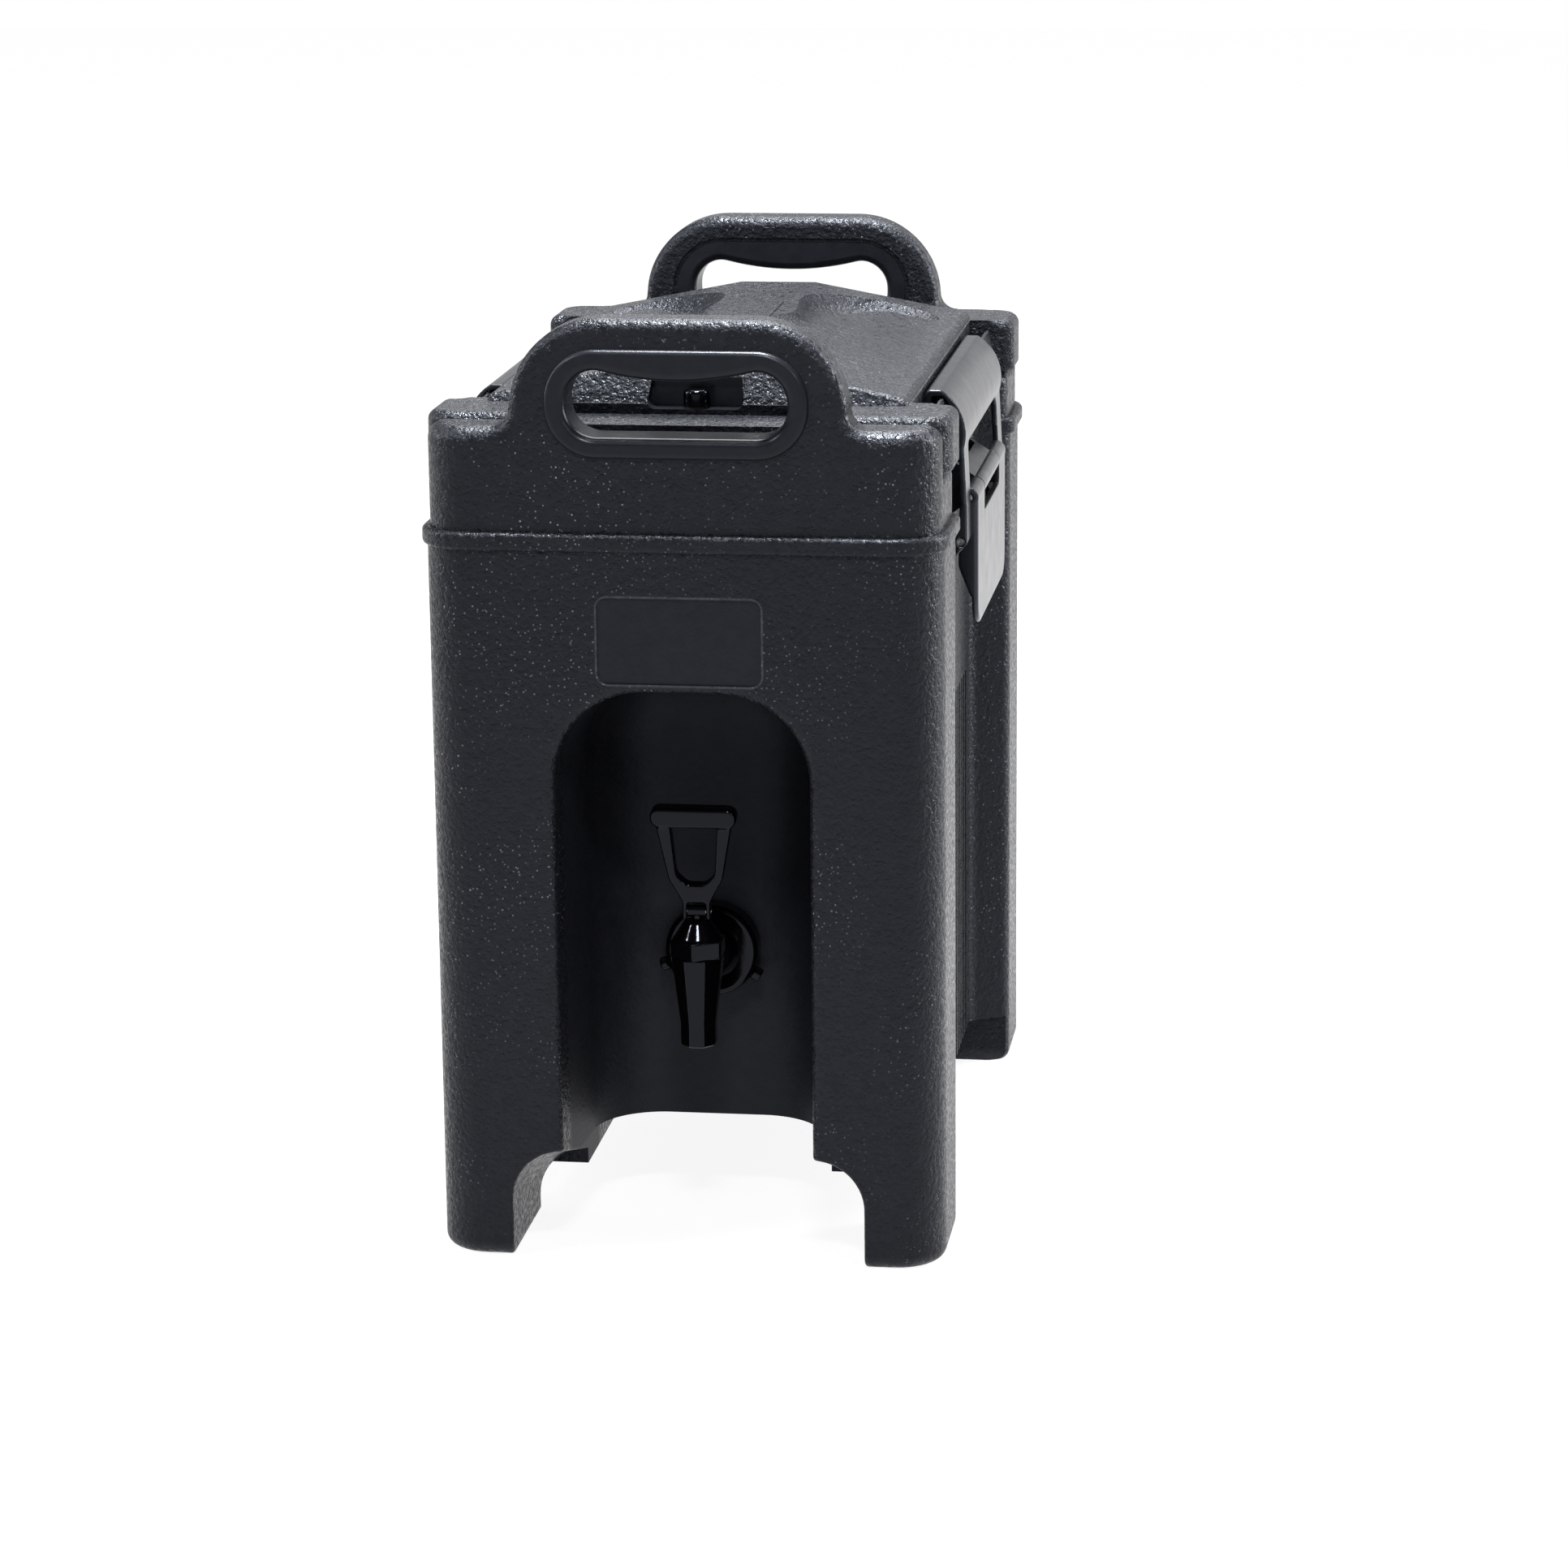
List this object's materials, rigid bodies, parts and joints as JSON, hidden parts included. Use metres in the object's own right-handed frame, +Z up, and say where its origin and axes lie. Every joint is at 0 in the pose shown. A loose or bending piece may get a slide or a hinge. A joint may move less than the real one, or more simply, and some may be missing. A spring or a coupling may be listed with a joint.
{
  "type": "insulated beverage server",
  "caption": "Foam-insulated beverage server with a lift-off lid held by side latches, carrying handles at both ends and a pull faucet in a front alcove.",
  "frame": {"origin": "middle of the footprint, on the floor under the feet", "axes": "+Z up, -Y out of the front with the faucet, +X to the right of someone facing the front"},
  "size_m": [0.2584, 0.424, 0.465],
  "materials": {
    "body_polyethylene": "rotomoulded, pebbled",
    "tank_polyethylene": "rotomoulded, smooth",
    "foam": "poured rigid foam",
    "latch_nylon": "moulded, satin",
    "faucet_plastic": "moulded, high gloss",
    "stem_plastic": "moulded",
    "seal_rubber": "silicone, matt",
    "steel": "stainless"
  },
  "bodies": {
    "carrier": {"body_base": "body_polyethylene", "body_shell": "body_polyethylene", "body_rim": "body_polyethylene", "front_grip": "body_polyethylene", "rear_grip": "body_polyethylene", "tank_liner": "tank_polyethylene", "insulation_foam": "foam", "faucet_body": "faucet_plastic", "faucet_bonnet": "faucet_plastic", "faucet_spring": "steel", "faucet_outer_washer": "seal_rubber", "faucet_wing_nut": "faucet_plastic", "faucet_inner_washer": "seal_rubber", "faucet_inner_nut": "faucet_plastic", "right_rib_skin": "body_polyethylene", "right_latch_bracket": "latch_nylon", "right_bracket_screws": "steel", "right_lever_pin": "steel", "left_rib_skin": "body_polyethylene", "left_latch_bracket": "latch_nylon", "left_bracket_screws": "steel", "left_lever_pin": "steel"},
    "lid": {"lid_shell": "body_polyethylene", "lid_liner": "tank_polyethylene", "lid_foam": "foam", "lid_gasket": "seal_rubber", "vent_seal": "seal_rubber"},
    "vent": {"vent_cap": "faucet_plastic"},
    "faucet_stem": {"faucet_stem": "stem_plastic", "faucet_seat_cup": "seal_rubber", "faucet_handle_pin": "steel"},
    "faucet_handle": {"faucet_handle": "faucet_plastic"},
    "right_lever": {"right_latch_lever": "latch_nylon", "right_strap_pins": "steel"},
    "right_strap": {"right_latch_strap": "latch_nylon"},
    "left_lever": {"left_latch_lever": "latch_nylon", "left_strap_pins": "steel"},
    "left_strap": {"left_latch_strap": "latch_nylon"}
  },
  "joints": [
    {"name": "lid_lift", "type": "slide", "parent": "carrier", "child": "lid", "axis": [0, 0, 1], "range_m": [0, 0.15]},
    {"name": "vent_lift", "type": "slide", "parent": "lid", "child": "vent", "axis": [0, 0, 1], "range_m": [0, 0.003]},
    {"name": "faucet_stem_lift", "type": "slide", "parent": "carrier", "child": "faucet_stem", "axis": [0, 0, 1], "range_m": [0, 0.004], "deforming": ["faucet_spring"]},
    {"name": "faucet_handle_pull", "type": "hinge", "parent": "faucet_stem", "child": "faucet_handle", "pos_m": [0, -0.166, 0.167], "axis": [1, 0, 0], "range_deg": [0, 35], "stiffness_Nm_per_rad": 0.04},
    {"name": "right_lever_swing", "type": "hinge", "parent": "carrier", "child": "right_lever", "pos_m": [0.124, 0, 0.3576], "axis": [0, -1, 0], "range_deg": [0, 95]},
    {"name": "right_strap_swing", "type": "hinge", "parent": "right_lever", "child": "right_strap", "pos_m": [0.1225, 0, 0.3388], "axis": [0, -1, 0], "range_deg": [-76, 0]},
    {"name": "left_lever_swing", "type": "hinge", "parent": "carrier", "child": "left_lever", "pos_m": [-0.124, 0, 0.3576], "axis": [0, 1, 0], "range_deg": [0, 95]},
    {"name": "left_strap_swing", "type": "hinge", "parent": "left_lever", "child": "left_strap", "pos_m": [-0.1225, 0, 0.3388], "axis": [0, 1, 0], "range_deg": [-76, 0]}
  ],
  "couplings": [
    {"joint": "faucet_stem_lift", "follows": "faucet_handle_pull", "m_per_rad": 0.0065},
    {"joint": "right_strap_swing", "follows": "right_lever_swing", "ratio": -0.8},
    {"joint": "left_strap_swing", "follows": "left_lever_swing", "ratio": -0.8}
  ]
}
